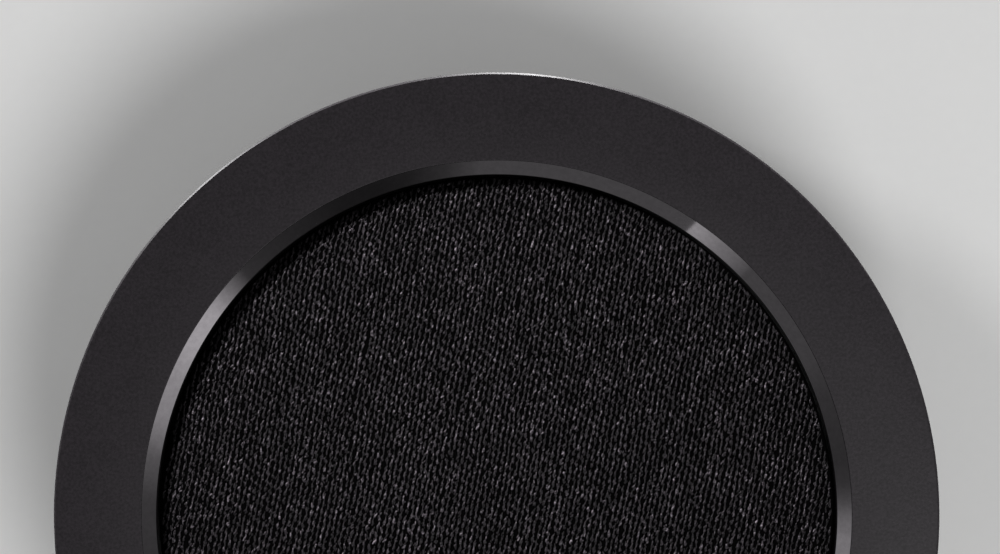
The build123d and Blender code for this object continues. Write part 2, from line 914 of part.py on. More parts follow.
def switch_back_y():
    return switch_front_y() - control_depth


def make_pair_switch_body():
    front = switch_front_y()
    body = block((button_x - 3.1, button_x + 3.1), (switch_back_y(), front),
                 (board_top_z, board_top_z + 2 * control_z - 1.4))
    reach = plunger_back_y() - button_travel - 0.2
    return body - along_y(button_x, control_height_z, 1.2 + socket_gap / 2, reach, front + 1)


def make_mute_slider():
    width, height = slider_knob
    z = control_height_z
    front = bay_y + slider_proud
    knob = block(around(slider_x, width), (button_stem_y(), front), around(z, height))
    for i in (-1, 0, 1):
        knob -= block(around(slider_x + i * 0.8, 0.24), (front - 0.25, front + 1), around(z, 2 * height))
    shoe_y = (button_stem_y(), bay_inner_y - socket_gap / 2)
    return knob + block(around(slider_x, width, 0.6), shoe_y, around(z, height, 0.9))


def make_mute_switch_lever():
    z = control_height_z
    front = button_stem_y()
    return block((slider_x - 0.6, slider_x + 0.6), (front - 2.2, front), (z - 0.6, z + 0.6))


def make_mute_switch_body():
    z = control_height_z
    front = switch_front_y()
    middle = slider_x + slider_travel / 2
    body = block((middle - 3.3, middle + 3.3), (switch_back_y(), front),
                 (board_top_z, board_top_z + 2 * control_z - 2.0))
    way = 0.6 + socket_gap / 2
    return body - block((slider_x - way, slider_x + slider_travel + way), (front - 1.6, front + 1),
                        (z - way, z + way))


# ---------------------------------------------------------------- inner leads
speaker_header_x = -24.0
lead_radius = 0.4
lead_bend = 2.4


def make_speaker_header():
    return centred(speaker_header_x, 0, 4.6, 8.0, board_top_z, board_top_z + 5.0)


def make_speaker_leads():
    """Two short insulated leads from the speaker's tabs down to their header."""
    start_z = motor_top_z - 1.8
    start_x = -motor_radius - 3.3
    end_z = board_top_z + 5.0
    drop = start_z - end_z
    leads = []
    for y in (-2.2, 2.2):
        points = [
            (start_x, y, start_z),
            (start_x, y, start_z - drop * 0.3),
            (speaker_header_x, y, end_z + drop * 0.3),
            (speaker_header_x, y, end_z),
        ]
        path = FilletPolyline(*points, radius=lead_bend)
        section = Plane(origin=points[0], z_dir=(0, 0, -1)) * Circle(lead_radius)
        leads.append(sweep(section, path))
    return together(leads)


ribbon_width = 10.0
ribbon_thickness = 0.3
ribbon_jog = 3.0
ribbon_socket = (3.4, 12.0, 1.6)


def make_ribbon_sockets():
    depth, width, height = ribbon_socket
    upper = centred(ribbon_x(), 0, depth, width, mic_shelf_z - height, mic_shelf_z)
    lower = centred(ribbon_x() - ribbon_jog, 0, depth, width, board_top_z, board_top_z + height)
    return together([upper, lower])


def make_ribbon_cable():
    """The flat cable that joins the microphone board to the main board."""
    high = mic_shelf_z - ribbon_socket[2]
    low = board_top_z + ribbon_socket[2]
    span = high - low
    half = ribbon_thickness / 2
    path = FilletPolyline(
        (ribbon_x(), high),
        (ribbon_x(), high - span * 0.4),
        (ribbon_x() - ribbon_jog, low + span * 0.35),
        (ribbon_x() - ribbon_jog, low),
        radius=3.0,
    )
    strip = extrude(Plane.XZ * trace(path, line_width=2 * half), ribbon_width / 2, both=True)
    return strip


# ---------------------------------------------------------------- write the pieces
PIECES = {
    "rim_ring": make_rim_ring,
    "bevel_ring": make_bevel_ring,
    "fabric_cover": make_fabric_cover,
    "grille_frame": make_grille_frame,
    "cloth_clamp_ring": make_cloth_clamp_ring,
    "mic_board": make_mic_board,
    "mic_board_screws": make_mic_board_screws,
    "microphones": make_microphones,
    "mic_boots": make_mic_boots,
    "status_leds": make_status_leds,
    "light_pipes": make_light_pipes,
    "chassis": make_chassis,
    "rim_screws": make_rim_screws,
    "speaker_gasket": make_speaker_gasket,
    "speaker_basket": make_speaker_basket,
    "speaker_top_plate": make_speaker_top_plate,
    "speaker_magnet": make_speaker_magnet,
    "speaker_yoke": make_speaker_yoke,
    "voice_coil": make_voice_coil,
    "speaker_cone": make_speaker_cone,
    "speaker_dust_cap": make_speaker_dust_cap,
    "speaker_surround": make_speaker_surround,
    "speaker_spider": make_speaker_spider,
    "speaker_terminals": make_speaker_terminals,
    "speaker_screws": make_speaker_screws,
    "lower_housing": make_lower_housing,
    "case_screws": make_case_screws,
    "foot_pad": make_foot_pad,
    "main_board": make_main_board,
    "board_screws": make_board_screws,
    "processor_chip": make_processor_chip,
    "processor_shield": make_processor_shield,
    "thermal_pad": make_thermal_pad,
    "heat_sink": make_heat_sink,
    "radio_shield": make_radio_shield,
    "board_chips": make_board_chips,
    "power_capacitors": make_power_capacitors,
    "power_inductors": make_power_inductors,
    "wifi_antennas": make_wifi_antennas,
    "mesh_antenna": make_mesh_antenna,
    "ethernet_jack": make_ethernet_jack,
    "ethernet_lights": make_ethernet_lights,
    "ethernet_contacts": make_ethernet_contacts,
    "power_jack": make_power_jack,
    "power_jack_tongue": make_power_jack_tongue,
    "pair_button": make_pair_button,
    "pair_switch_plunger": make_pair_switch_plunger,
    "pair_switch_body": make_pair_switch_body,
    "mute_slider": make_mute_slider,
    "mute_switch_lever": make_mute_switch_lever,
    "mute_switch_body": make_mute_switch_body,
    "speaker_header": make_speaker_header,
    "speaker_leads": make_speaker_leads,
    "ribbon_sockets": make_ribbon_sockets,
    "ribbon_cable": make_ribbon_cable,
}


def main():
    os.makedirs("parts", exist_ok=True)
    for name, make in PIECES.items():
        export_step(make(), os.path.join("parts", f"{name}.step"))


main()
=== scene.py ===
"""Looks of a round smart home hub: powder-coated rim, polished bevel, recessed speaker cloth and
moulded base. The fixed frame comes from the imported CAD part. Sizes are in millimetres unless a
comment says otherwise, and are multiplied by MM to give Blender's metres."""

import json
import math

import bpy
import numpy as np
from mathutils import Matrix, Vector


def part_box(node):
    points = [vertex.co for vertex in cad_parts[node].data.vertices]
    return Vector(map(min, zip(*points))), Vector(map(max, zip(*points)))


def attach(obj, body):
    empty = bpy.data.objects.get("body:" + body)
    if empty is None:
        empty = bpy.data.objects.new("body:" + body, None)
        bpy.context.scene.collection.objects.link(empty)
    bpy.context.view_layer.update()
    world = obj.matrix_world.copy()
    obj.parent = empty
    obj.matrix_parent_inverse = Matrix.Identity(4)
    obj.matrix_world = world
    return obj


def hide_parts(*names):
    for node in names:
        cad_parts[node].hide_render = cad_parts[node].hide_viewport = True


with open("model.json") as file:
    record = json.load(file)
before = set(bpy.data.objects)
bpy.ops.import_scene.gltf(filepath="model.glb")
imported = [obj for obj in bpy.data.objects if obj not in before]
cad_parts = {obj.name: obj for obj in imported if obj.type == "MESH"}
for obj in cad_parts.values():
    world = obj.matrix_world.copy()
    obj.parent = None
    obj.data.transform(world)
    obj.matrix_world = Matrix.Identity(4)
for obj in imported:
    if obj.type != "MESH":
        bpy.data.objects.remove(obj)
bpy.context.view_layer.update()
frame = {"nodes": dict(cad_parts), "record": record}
NODES = frame["nodes"]
MM = 0.001

# ---------------------------------------------------------------- sizes
RIM_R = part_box("rim_ring")[1].x / MM
RIM_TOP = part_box("rim_ring")[1].z / MM
RIM_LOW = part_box("rim_ring")[0].z / MM
RIM_PLATE = 2.4  # thickness of the rim's top
RIM_WALL = 1.8  # thickness of the rim's outer wall
RIM_CROWN = 0.6  # how far the rim's top falls towards its outer edge
RIM_CHAMFER = 0.25
EDGE_ROUND = 0.1  # the rim's small corner radius

BEVEL_FLANGE_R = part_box("bevel_ring")[1].x / MM
BEVEL_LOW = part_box("bevel_ring")[0].z / MM
BEVEL_OUT = 48.05  # radius of the polished face's upper edge
BEVEL_IN = 46.22  # and of its lower edge
BEVEL_DROP = 1.4  # how far the face falls between the two
BEVEL_SET = 0.02  # how far the face's upper edge lies under the rim's top
BEVEL_BOW = 0.03  # how far the face stands out at its middle
SEAM = 0.035  # the gap between rim and bevel

CLOTH_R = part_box("fabric_cover")[1].x / MM
CLOTH_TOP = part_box("fabric_cover")[1].z / MM
CLOTH_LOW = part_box("fabric_cover")[0].z / MM
CLOTH_BASE_TOP = CLOTH_TOP - 0.2  # the cloth's ground, which the yarns stand on
CLOTH_THICK = 0.25

TURN = 540  # faces round a turned piece
PROFILE_STEPS = 9  # points along a gently curved part of an outline
ARC_STEPS = 5  # faces along a rounded corner
ARC_HOLD = 0.08  # the most straight run kept beside a rounded corner, so that its shading stays in it
ARC_HOLD_SHARE = 0.6  # and that run as a share of the corner's radius


# ---------------------------------------------------------------- node helpers
BLOTCH_SHARE = 12  # how much of a coat's mottling is in its blotches, per unit of uneven gloss
BLOTCH_SIZE = 14  # how many times broader the blotches are than the grain
POLISH_PATCHES = 0.12  # patches of uneven polish on metal, per millimetre


def new_material(name):
    mat = bpy.data.materials.new(name)
    mat.use_nodes = True
    tree = mat.node_tree
    return mat, tree, tree.nodes["Principled BSDF"]


def add(tree, kind, **values):
    """A new node, with these properties."""
    node = tree.nodes.new(kind)
    for key, value in values.items():
        setattr(node, key, value)
    return node


def set_inputs(node, **values):
    """Set a node's sockets by name, with _ for a space."""
    for key, value in values.items():
        node.inputs[key.replace("_", " ")].default_value = value


def calc(tree, operation, *values):
    """A Math node on values and sockets."""
    node = add(tree, "ShaderNodeMath", operation=operation)
    for socket, value in zip(node.inputs, values):
        if isinstance(value, (int, float)):
            socket.default_value = value
        else:
            tree.links.new(value, socket)
    return node.outputs[0]


def place(tree):
    """The point on the piece, in metres, in the piece's own frame."""
    return add(tree, "ShaderNodeTexCoord").outputs["Object"]


def noise(tree, per_mm, detail=3.0, roughness=0.55, stretch=None):
    """Noise whose features are about 1 / per_mm millimetres across."""
    node = add(tree, "ShaderNodeTexNoise")
    set_inputs(node, Scale=per_mm / MM, Detail=detail, Roughness=roughness)
    source = place(tree)
    if stretch:
        mapping = add(tree, "ShaderNodeMapping")
        set_inputs(mapping, Scale=stretch)
        tree.links.new(source, mapping.inputs["Vector"])
        source = mapping.outputs["Vector"]
    tree.links.new(source, node.inputs["Vector"])
    return node.outputs["Fac"]


def ramp(tree, value, stops):
    """A colour ramp; stops are (position, grey or colour)."""
    node = add(tree, "ShaderNodeValToRGB")
    points = node.color_ramp.elements
    points.remove(points[1])
    points[0].position = stops[0][0]
    for position, _ in stops[1:]:
        points.new(position)
    for point, (_, colour) in zip(points, stops):
        if isinstance(colour, (int, float)):
            colour = (colour, colour, colour)
        point.color = (*colour, 1)
    tree.links.new(value, node.inputs["Fac"])
    return node.outputs["Color"]


def spread_range(tree, value, low, high, start=0.3, end=0.7):
    """The value from start to end spread over low to high, and held there beyond them."""
    node = add(tree, "ShaderNodeMapRange")
    set_inputs(node, From_Min=start, From_Max=end, To_Min=low, To_Max=high)
    tree.links.new(value, node.inputs["Value"])
    return node.outputs["Result"]


def bump(tree, shader, height, strength, depth):
    """Bumps up to depth millimetres high."""
    node = add(tree, "ShaderNodeBump")
    set_inputs(node, Strength=strength, Distance=depth * MM)
    tree.links.new(height, node.inputs["Height"])
    tree.links.new(node.outputs["Normal"], shader.inputs["Normal"])


def shade(colour, factor):
    return tuple(channel * factor for channel in colour)


def coated(name, colour, roughness, grain, grain_depth, variation=0.12, uneven=0.05, **inputs):
    """Moulded plastic or paint with a fine grain: mottled colour, uneven gloss and a bump."""
    mat, tree, shader = new_material(name)
    fine = noise(tree, grain, detail=2.0)
    broad = noise(tree, grain / BLOTCH_SIZE, detail=3.0)
    blotches = uneven * BLOTCH_SHARE
    mottling = calc(tree, "MULTIPLY_ADD", broad, blotches, calc(tree, "MULTIPLY", fine, 1 - blotches))
    tone = ramp(tree, mottling,
                [(0.35, shade(colour, 1 - variation)), (0.65, shade(colour, 1 + variation))])
    tree.links.new(tone, shader.inputs["Base Color"])
    gloss = spread_range(tree, broad, roughness - uneven, roughness + uneven)
    tree.links.new(gloss, shader.inputs["Roughness"])
    bump(tree, shader, fine, 0.5, grain_depth)
    set_inputs(shader, **inputs)
    return mat


def metal(name, colour, roughness, streak=(1, 1, 1), grain=3.0, depth=0.003):
    """Bare metal with directional grain and patches of uneven polish."""
    mat, tree, shader = new_material(name)
    set_inputs(shader, Metallic=1.0)
    fine = noise(tree, grain, detail=3.0, stretch=streak)
    broad = noise(tree, POLISH_PATCHES, detail=3.0)
    tone = ramp(tree, fine, [(0.3, shade(colour, 0.9)), (0.7, shade(colour, 1.05))])
    tree.links.new(tone, shader.inputs["Base Color"])
    gloss = spread_range(tree, broad, roughness * 0.8, roughness * 1.25)
    tree.links.new(gloss, shader.inputs["Roughness"])
    bump(tree, shader, fine, 0.3, depth)
    return mat


# ---------------------------------------------------------------- mesh helpers
SHARP_ANGLE = math.radians(35)  # edges that turn more than this stay sharp


def mesh_piece(name, points, faces, material):
    """A piece from points in millimetres."""
    mesh = bpy.data.meshes.new(name)
    mesh.from_pydata([tuple(p) for p in np.asarray(points) * MM], [], faces)
    mesh.update()
    mesh.shade_smooth()
    mesh.set_sharp_from_angle(angle=SHARP_ANGLE)
    mesh.materials.append(material)
    obj = bpy.data.objects.new(name, mesh)
    bpy.context.scene.collection.objects.link(obj)
    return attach(obj, "hub")


def rounded(outline):
    """An outline of (radius, height, corner radius) with each corner turned into an arc."""
    count = len(outline)
    path = []
    for i, (r, z, corner) in enumerate(outline):
        here = np.array((r, z))
        if corner <= 0:
            path.append((r, z))
            continue
        back = np.array(outline[i - 1][:2]) - here
        ahead = np.array(outline[(i + 1) % count][:2]) - here
        back /= np.linalg.norm(back)
        ahead /= np.linalg.norm(ahead)
        half = math.acos(np.clip(back @ ahead, -1, 1)) / 2
        reach = corner / math.tan(half)
        middle = here + (back + ahead) / np.linalg.norm(back + ahead) * corner / math.sin(half)
        start, end = here + back * reach - middle, here + ahead * reach - middle
        hold = min(corner * ARC_HOLD_SHARE, ARC_HOLD)
        path.append(tuple(middle + start + back * hold))
        first = math.atan2(start[1], start[0])
        turn = (math.atan2(end[1], end[0]) - first + math.pi) % (2 * math.pi) - math.pi
        for k in range(ARC_STEPS + 1):
            angle = first + turn * k / ARC_STEPS
            path.append((middle[0] + corner * math.cos(angle), middle[1] + corner * math.sin(angle)))
        path.append(tuple(middle + end + ahead * hold))
    return path


def turned(name, outline, material, segments=TURN, closed=True):
    """A piece turned about Z from an outline of (radius, height, corner radius), anticlockwise. An
    open outline starts and ends on the axis."""
    angles = np.arange(segments) * 2 * math.pi / segments
    points, rings = [], []
    for r, z in rounded(outline):
        start = sum(len(p) for p in points)
        if r < 1e-6:
            points.append(np.array([[0, 0, z]]))
            rings.append((start, 1))
        else:
            circle = np.stack([r * np.cos(angles), r * np.sin(angles), np.full(segments, z)], 1)
            points.append(circle)
            rings.append((start, segments))
    faces = []
    pairs = len(rings) if closed else len(rings) - 1
    for i in range(pairs):
        (a, size_a), (b, size_b) = rings[i], rings[(i + 1) % len(rings)]
        for k in range(segments):
            n = (k + 1) % segments
            if size_a == 1:
                faces.append((a, b + n, b + k))
            elif size_b == 1:
                faces.append((a + k, a + n, b))
            else:
                faces.append((a + k, a + n, b + n, b + k))
    return mesh_piece(name, np.concatenate(points), faces, material)


# ---------------------------------------------------------------- camera
VIEW_WIDTH = 135.3  # width of the picture at the height of the rim's top
VIEW_HEIGHT_ABOVE = 600.0  # how far the camera is above the rim's top
SENSOR = 36.0
CAMERA_AT = (0.45, 32.27)  # the point of the hub that the camera stands over, looking straight down
NEAREST = 0.01  # how near the camera sees, in metres

camera_data = bpy.data.cameras.new("camera")
camera_data.sensor_width = SENSOR
camera_data.lens = SENSOR * VIEW_HEIGHT_ABOVE / VIEW_WIDTH
camera_data.clip_start = NEAREST
camera = bpy.data.objects.new("camera", camera_data)
camera.location = Vector((*CAMERA_AT, RIM_TOP + VIEW_HEIGHT_ABOVE)) * MM
bpy.context.scene.collection.objects.link(camera)
bpy.context.scene.camera = camera
bpy.context.scene.view_settings.view_transform = "Standard"

# ---------------------------------------------------------------- studio
BACKDROP = (0.62, 0.62, 0.625, 1)  # what the camera sees past the floor
OVERHEAD = 0.22  # how bright the studio is above its panels
# the height of a direction, and how much of the panels is there
PANEL_HEIGHTS = [(0.0, 0.0), (0.06, 1.0), (0.62, 1.0), (0.78, 0.0)]
# The panels stand all round the studio: (the azimuth on the bevel that mirrors the spot, how bright
# the bevel looks there as an 8-bit level), with black felt between them.
PANELS = (
    (-30, 112), (-3, 105), (0, 92), (2, 68), (5, 48), (9, 42), (20, 47), (27, 58), (44.5, 62),
    (56.0, 64), (92, 63), (98, 43), (104, 28), (110, 22), (117, 24), (130, 38), (136, 46),
    (140, 104), (144, 150), (150, 153), (156, 136), (164, 121), (170, 80), (177, 54), (188, 48),
)
BEVEL_SHINE = 0.45  # how much of a panel's light the bevel returns
# the slot is the one panel with sharp ends: their azimuths, and its levels from start to end
SLOT_ENDS = (44.6, 55.8)
SLOT_RUN = ((0.0, 72), (0.2, 88), (0.55, 108), (0.82, 127), (1.0, 137))
SLOT_LEAN = 0.25  # how much the slot narrows upwards
SLOT_LEVEL = 0.42  # the height of a direction at which the slot has its true width
SLOT_REACH = 0.02  # how far from its middle the slot is squeezed, in turns
MIX_A, MIX_B, MIX_RESULT = 6, 7, 2  # a Mix node's sockets for colours


def reflected(azimuth, slope):
    """Where a ray from the camera goes after the bevel turns it: its azimuth, in degrees."""
    a = math.radians(azimuth)
    r = (BEVEL_OUT + BEVEL_IN) / 2
    point = Vector((r * math.cos(a), r * math.sin(a), RIM_TOP))
    ray = (point - Vector((*CAMERA_AT, RIM_TOP + VIEW_HEIGHT_ABOVE))).normalized()
    normal = Vector((-math.cos(a) * math.sin(slope), -math.sin(a) * math.sin(slope), math.cos(slope)))
    out = ray - 2 * ray.dot(normal) * normal
    return math.degrees(math.atan2(out.y, out.x))


def linear(level):
    """An 8-bit picture level as linear light."""
    c = level / 255
    return c / 12.92 if c <= 0.04045 else ((c + 0.055) / 1.055) ** 2.4


def panel_light(level):
    """How bright a panel is where the bevel is to look this bright."""
    return linear(level) / BEVEL_SHINE


def turn_share(azimuth):
    """Where on a full turn of the studio the bevel at this azimuth looks."""
    slope = math.atan2(BEVEL_DROP, BEVEL_OUT - BEVEL_IN)
    return (reflected(azimuth, slope) / 360 + 0.5) % 1.0


def background(tree, colour):
    """A Background shader of a fixed colour or a colour socket."""
    node = add(tree, "ShaderNodeBackground")
    if isinstance(colour, tuple):
        set_inputs(node, Color=colour)
    else:
        tree.links.new(colour, node.inputs["Color"])
    return node.outputs[0]


def mixed_shader(tree, share, first, second):
    node = add(tree, "ShaderNodeMixShader")
    tree.links.new(share, node.inputs["Fac"])
    tree.links.new(first, node.inputs[1])
    tree.links.new(second, node.inputs[2])
    return node.outputs[0]


def build_world():
    """A studio of soft panels, which only reflections and the light on the hub show."""
    world = bpy.data.worlds.new("studio")
    world.use_nodes = True
    bpy.context.scene.world = world
    tree = world.node_tree
    tree.nodes.clear()
    direction = add(tree, "ShaderNodeTexCoord").outputs["Generated"]
    split = add(tree, "ShaderNodeSeparateXYZ")
    tree.links.new(direction, split.inputs[0])
    height = split.outputs["Z"]
    gradient = add(tree, "ShaderNodeTexGradient", gradient_type="RADIAL")
    tree.links.new(direction, gradient.inputs["Vector"])
    around = gradient.outputs["Fac"]
    # the slot narrows upwards, so its ends show slanted on the bevel
    start, end = (turn_share(azimuth) for azimuth in SLOT_ENDS)
    off = calc(tree, "SUBTRACT", around, (start + end) / 2)
    near = calc(tree, "MAXIMUM", calc(tree, "MINIMUM", off, SLOT_REACH), -SLOT_REACH)
    lean = calc(tree, "MULTIPLY", calc(tree, "SUBTRACT", height, SLOT_LEVEL), SLOT_LEAN)
    leaned = calc(tree, "MULTIPLY_ADD", near, lean, around)
    # a ramp is read in 256 steps, too coarse for sharp ends, so the slot has its own and a mask
    along_slot = spread_range(tree, leaned, 0, 1, start, end)
    slot = ramp(tree, along_slot, [(share, panel_light(level)) for share, level in SLOT_RUN])
    in_slot = calc(tree, "MULTIPLY", calc(tree, "GREATER_THAN", leaned, start),
                   calc(tree, "LESS_THAN", leaned, end))
    soft = ramp(tree, leaned, sorted((turn_share(azimuth), panel_light(level)) for azimuth, level in PANELS))
    panels = add(tree, "ShaderNodeMix", data_type="RGBA")
    tree.links.new(in_slot, panels.inputs["Factor"])
    tree.links.new(soft, panels.inputs[MIX_A])
    tree.links.new(slot, panels.inputs[MIX_B])
    lit = mixed_shader(tree, ramp(tree, height, PANEL_HEIGHTS),
                       background(tree, (OVERHEAD, OVERHEAD, OVERHEAD, 1)),
                       background(tree, panels.outputs[MIX_RESULT]))
    seen = add(tree, "ShaderNodeLightPath").outputs["Is Camera Ray"]
    both = mixed_shader(tree, seen, lit, background(tree, BACKDROP))
    tree.links.new(both, add(tree, "ShaderNodeOutputWorld").inputs["Surface"])


def area_light(name, azimuth, elevation, distance, size, power, aim=(0, 0, 38)):
    """A round softbox. Its distance and size are in metres, its angles in degrees."""
    data = bpy.data.lights.new(name, "AREA")
    data.shape = "DISK"
    data.size = size
    data.energy = power
    light = bpy.data.objects.new(name, data)
    a, e = math.radians(azimuth), math.radians(elevation)
    target = Vector(aim) * MM
    away = Vector((math.cos(e) * math.cos(a), math.cos(e) * math.sin(a), math.sin(e)))
    light.location = target + away * distance
    light.rotation_euler = away.to_track_quat("Z", "Y").to_euler()
    light.visible_camera = False
    bpy.context.scene.collection.objects.link(light)
    return light


def keep_light(light, state, pieces):
    """Let a light reach only these pieces (INCLUDE) or all but these (EXCLUDE)."""
    group = bpy.data.collections.new(light.name + "_pieces")
    for piece in pieces:
        group.objects.link(piece)
    for entry in group.collection_objects:
        entry.light_linking.link_state = state
    light.light_linking.receiver_collection = group


build_world()
fill = area_light("fill_softbox", azimuth=-58, elevation=60, distance=1.1, size=0.5, power=6.3)
key = area_light("key_softbox", azimuth=150, elevation=50, distance=1.0, size=0.25, power=2.4)
cloth_key = area_light("cloth_softbox", azimuth=136, elevation=47, distance=0.6, size=0.10,
                       power=0.098, aim=(-14, 32, 38))
cloth_key.data.spread = math.radians(22)
# two low strips that only the rim's outer edge catches
edge_strip = area_light("edge_strip", azimuth=86, elevation=-4, distance=0.3, size=0.03, power=1.3)
edge_strip_left = area_light("edge_strip_left", azimuth=132, elevation=-4, distance=0.3, size=0.03,
                             power=0.8)

FLOOR_HALF = 2500  # half the floor's width
floor_mat = coated("studio_paper", (0.84, 0.84, 0.835), 0.85, 0.6, 0.004, variation=0.01)
floor = mesh_piece("floor", [(-FLOOR_HALF, -FLOOR_HALF, 0), (FLOOR_HALF, -FLOOR_HALF, 0),
                             (FLOOR_HALF, FLOOR_HALF, 0), (-FLOOR_HALF, FLOOR_HALF, 0)],
                   [(0, 1, 2, 3)], floor_mat)

# ---------------------------------------------------------------- rim
rim_mat = coated("rim_powder_coat", (0.0245, 0.0207, 0.0245), 0.42, 2.6, 0.02,
                 variation=0.28, uneven=0.012, Specular_IOR_Level=0.25)
rim_in = BEVEL_OUT + SEAM
rim_out = RIM_R - RIM_CHAMFER
crown = []
for share in np.linspace(0.9, 0.1, PROFILE_STEPS):
    crown.append((rim_in + (rim_out - rim_in) * share, RIM_TOP - RIM_CROWN * share**2, 0))
rim = turned("rim", [
    (rim_in, RIM_TOP - RIM_PLATE, 0),
    (RIM_R - RIM_WALL, RIM_TOP - RIM_PLATE, 0.4),
    (RIM_R - RIM_WALL, RIM_LOW, EDGE_ROUND),
    (rim_out, RIM_LOW, EDGE_ROUND),
    (RIM_R, RIM_LOW + RIM_CHAMFER, EDGE_ROUND),
    (RIM_R, RIM_TOP - RIM_CROWN - RIM_CHAMFER, EDGE_ROUND),
    (rim_out, RIM_TOP - RIM_CROWN, EDGE_ROUND),
    *crown,
    (rim_in, RIM_TOP, 0.05),
], rim_mat)
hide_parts("rim_ring")

# ---------------------------------------------------------------- bevel
bevel_mat = metal("bevel_polish", (0.465, 0.438, 0.465), 0.05, grain=1.5, depth=0.0001)
wall_mat = coated("well_wall", (0.012, 0.0115, 0.012), 0.35, 2.0, 0.01)
WALL_TOP = RIM_TOP - BEVEL_DROP  # where the polished face ends and the dark wall begins
GROOVE = 0.2  # depth of the shadow groove under the face
face_run = np.array((BEVEL_IN - BEVEL_OUT, -BEVEL_DROP))
face_out = np.array((-BEVEL_DROP, BEVEL_OUT - BEVEL_IN)) / np.hypot(*face_run)
bevel_face = []
for share in np.linspace(0, 1, PROFILE_STEPS):
    bow = face_out * BEVEL_BOW * 4 * share * (1 - share)
    point = np.array((BEVEL_OUT, RIM_TOP - BEVEL_SET)) + face_run * share + bow
    bevel_face.append((*point, 0))
bevel = turned("bevel", [
    *bevel_face,
    (BEVEL_IN, WALL_TOP - 0.12, 0),
    (BEVEL_IN + GROOVE, WALL_TOP - 0.16, 0),
    (BEVEL_IN + GROOVE, WALL_TOP - 0.5, 0),
    (BEVEL_IN, WALL_TOP - 0.55, 0.04),
    (BEVEL_IN, BEVEL_LOW, 0.05),
    (BEVEL_FLANGE_R, BEVEL_LOW, 0),
    (BEVEL_FLANGE_R, RIM_TOP - RIM_PLATE, 0),
    (BEVEL_OUT, RIM_TOP - RIM_PLATE, 0),
], bevel_mat)
bevel.data.materials.append(wall_mat)
for face in bevel.data.polygons:
    under_face = face.center.z < (WALL_TOP - 0.1) * MM
    in_well = face.center.xy.length < (BEVEL_IN + 0.25) * MM
    if under_face and in_well:
        face.material_index = 1
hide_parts("bevel_ring")

# ---------------------------------------------------------------- cloth
# the ground is black cloth, its colour made darker still as painted shade for the depths between the yarns
cloth_mat = coated("cloth_ground", (0.0009, 0.0008, 0.0009), 0.9, 3.0, 0.05, variation=0.4,
                   Specular_IOR_Level=0.02)
cloth = turned("speaker_cloth", [
    (0, CLOTH_BASE_TOP - CLOTH_THICK, 0),
    (CLOTH_R - CLOTH_THICK, CLOTH_BASE_TOP - CLOTH_THICK, 0.15),
    (CLOTH_R - CLOTH_THICK, CLOTH_LOW, 0),
    (CLOTH_R, CLOTH_LOW, 0.1),
    (CLOTH_R, CLOTH_BASE_TOP, 0.35),
    (0, CLOTH_BASE_TOP, 0),
], cloth_mat, segments=360, closed=False)
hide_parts("fabric_cover")

COLUMN_STEP = np.array((0.804, 0.636))  # from one column of stitches to the next
STITCH_STEP = np.array((0.201, 1.073))  # and from one stitch to the next in a column
WANDER = 0.09  # how far stretched cloth carries a stitch off its lattice
YARN_RINGS = 6
YARN_SIDES = 4
YARN_LEAN = math.radians(65)  # from +X: a stitch leans across its column, which stands at 79 degrees
YARN_ROOT = 0.03  # how far a strand's ends are sunk into the ground
RISE = 0.15  # how far a strand's middle stands over its ends
STITCH_MARGIN = 0.35  # no stitch is centred nearer to the wall than this
WALL_GAP = 0.14  # and no strand comes nearer than this
EDGE_ROLL = 2.2  # how far in from the wall the cloth starts to roll down
EDGE_SINK = 0.75  # how much of its rise a strand has lost at the wall
# Strands of a stitch: shift to the left, shift up, length, radius, extra rise, winding, turn in
# radians. Three lie side by side, a low one links the stitch to the next, and a thin one is on top.
STRANDS = (
    (-0.140, -0.15, 0.52, 0.094, -0.01, -0.02, -0.08),
    (0.005, 0.00, 0.66, 0.100, 0.06, -0.02, 0.00),
    (0.145, 0.15, 0.52, 0.090, -0.02, -0.02, 0.08),
    (0.100, 0.50, 0.54, 0.076, -0.08, 0.00, 0.25),
    (0.030, 0.02, 0.50, 0.044, 0.15, 0.03, 0.12),
)
# how unlike each other the stitches are, and then the strands and the points along a strand
STITCH_JITTER = {"lean": 0.07, "shift": 0.06, "rise": 0.055}
STRAND_JITTER = {"lean": 0.16, "shift": 0.045, "length": 0.17, "radius": 0.14, "rise": 0.04, "curl": 0.03}
POINT_JITTER = {"bow": 0.018, "height": 0.012, "radius": 0.2}
# the least and most of each, whatever the jitter
LENGTHS = (0.3, 1.1)
RADII = (0.03, 0.14)
RISES = (0.02, 0.36)
LUMPS = (0.6, 1.4)
SECTORS = 12  # pieces that the stitches are divided into
rng = np.random.default_rng(11)


def stitch_places(radius):
    """The knit's lattice inside a circle, with the slow wander that stretched cloth has."""
    reach = int(radius / 0.6) + 4
    i, j = np.meshgrid(np.arange(-reach, reach), np.arange(-reach * 2, reach * 2))
    places = i.reshape(-1, 1) * COLUMN_STEP + j.reshape(-1, 1) * STITCH_STEP
    x, y = places[:, 0], places[:, 1]
    places = places + WANDER * np.stack([
        np.sin(y / 3.1 + 0.7 * np.sin(x / 5.3)) + 0.6 * np.sin(x / 2.3 + y / 7.7),
        np.sin(x / 4.1 + 1.3) + 0.6 * np.sin(y / 2.9 - x / 6.1),
    ], 1)
    return places[np.hypot(*places.T) < radius]


def strand_faces():
    """Faces of one closed yarn strand: rings of sides, with a point at each end."""
    faces = []
    for ring in range(YARN_RINGS - 1):
        for side in range(YARN_SIDES):
            a = ring * YARN_SIDES + side
            b = ring * YARN_SIDES + (side + 1) % YARN_SIDES
            faces.append((a, b, b + YARN_SIDES, a + YARN_SIDES))
    tip, tail = YARN_RINGS * YARN_SIDES, YARN_RINGS * YARN_SIDES + 1
    last = (YARN_RINGS - 1) * YARN_SIDES
    caps = []
    for side in range(YARN_SIDES):
        after = (side + 1) % YARN_SIDES
        caps.append((after, side, tip))
        caps.append((last + side, last + after, tail))
    return np.array(faces), np.array(caps)


